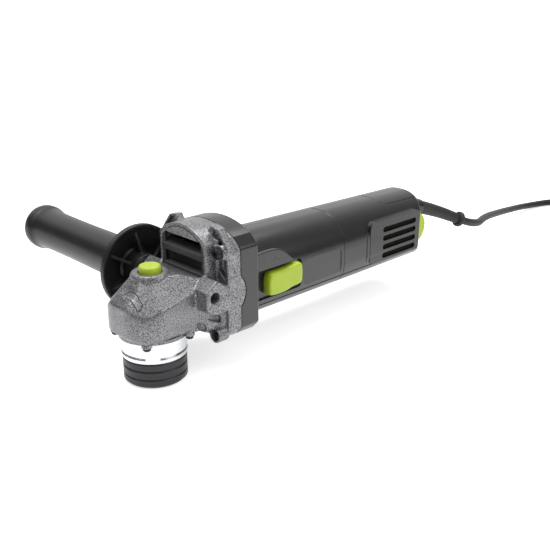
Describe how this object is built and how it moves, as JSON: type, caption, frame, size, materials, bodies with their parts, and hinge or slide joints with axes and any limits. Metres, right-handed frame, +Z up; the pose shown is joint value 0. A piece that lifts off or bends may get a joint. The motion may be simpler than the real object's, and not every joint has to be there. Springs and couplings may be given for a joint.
{
  "type": "angle grinder",
  "caption": "Corded small angle grinder with side handle, spindle lock button, sliding switch, speed thumbwheel and mains cord put away in a coil.",
  "frame": {"origin": "on the spindle's axis, in the plane of the clamping nut's lower face and the spindle's end", "axes": "+Z up along the spindle, away from the disc side; +X to the rear of the tool along the motor; +Y to the side handle"},
  "size_m": [0.6552, 0.3028, 0.0993],
  "materials": {
    "hammer_grey": "grey hammer-finish enamel on cast aluminium",
    "black_plastic": "moulded black polyamide, fine grain",
    "zinc_steel": "zinc-plated steel",
    "bright_aluminium": "turned bright aluminium",
    "black_steel": "black-oxide steel",
    "dark_steel": "phosphated steel",
    "machined_steel": "ground steel",
    "bronze": "sintered bronze",
    "lime_plastic": "lime green moulded plastic",
    "lamination": "stacked electrical steel",
    "copper": "varnished copper wire",
    "white_plastic": "glass-filled polyamide",
    "black_rubber": "black rubber",
    "brass_strip": "drawn brass",
    "carbon": "electrographite",
    "cord_sheath": "black rubber mains cord, satin",
    "nickel_brass": "nickel-plated brass",
    "handle_plastic": "dark grey moulded plastic"
  },
  "bodies": {
    "housing": {"gearbox_housing": "hammer_grey", "air_deflector": "black_plastic", "gearbox_screws": "zinc_steel", "bearing_cover": "bright_aluminium", "cover_screws": "black_steel", "spindle_bearing": "machined_steel", "spindle_bush": "bronze", "lock_spring": "zinc_steel", "baffle_ring": "white_plastic", "front_bearing": "machined_steel", "rear_bearing": "machined_steel", "bearing_sleeve": "black_rubber", "stator_core": "lamination", "field_coils": "copper", "brush_holders": "brass_strip", "carbon_brushes": "carbon", "brush_springs": "zinc_steel", "motor_housing": "black_plastic", "rear_cover": "black_plastic", "rear_cover_screws": "zinc_steel", "switch_module": "black_plastic", "speed_module": "black_plastic", "cord_clamp": "black_plastic", "clamp_screws": "zinc_steel", "strain_relief": "black_rubber", "cord_lead": "cord_sheath", "cord_coil": "cord_sheath", "cord_tail": "cord_sheath", "cord_tie": "black_plastic", "plug_body": "black_rubber", "plug_pins": "nickel_brass", "handle_guard": "handle_plastic", "handle_grip": "handle_plastic", "handle_stud": "zinc_steel"},
    "spindle_group": {"spindle": "machined_steel", "spindle_gear": "machined_steel", "support_flange": "dark_steel", "clamping_nut": "dark_steel"},
    "armature": {"armature_shaft": "machined_steel", "armature_core": "lamination", "armature_windings": "copper", "commutator": "copper", "fan": "white_plastic", "pinion": "machined_steel", "pinion_nut": "zinc_steel"},
    "lock": {"lock_button": "lime_plastic", "lock_plunger": "machined_steel"},
    "slider": {"switch_slider": "lime_plastic", "switch_rod": "white_plastic"},
    "dial": {"speed_dial": "lime_plastic"}
  },
  "joints": [
    {"name": "armature_spin", "type": "hinge", "parent": "housing", "child": "armature", "pos_m": [0, 0, 0.056], "axis": [1, 0, 0], "continuous": true},
    {"name": "spindle_spin", "type": "hinge", "parent": "housing", "child": "spindle_group", "pos_m": [0, 0, 0], "axis": [0, 0, 1], "continuous": true},
    {"name": "spindle_lock", "type": "slide", "parent": "housing", "child": "lock", "axis": [0, 0, -1], "range_m": [0, 0.0036], "stiffness_N_per_m": 600, "springref_m": -0.003, "deforming": ["lock_spring"]},
    {"name": "switch_slide", "type": "slide", "parent": "housing", "child": "slider", "axis": [-1, 0, 0], "range_m": [0, 0.006]},
    {"name": "speed_dial_turn", "type": "hinge", "parent": "housing", "child": "dial", "pos_m": [0.2432, -0.0222, 0.0544], "axis": [0, 1, 0], "range_deg": [-135, 135]}
  ],
  "couplings": [
    {"joint": "spindle_spin", "follows": "armature_spin", "ratio": 0.33333}
  ]
}
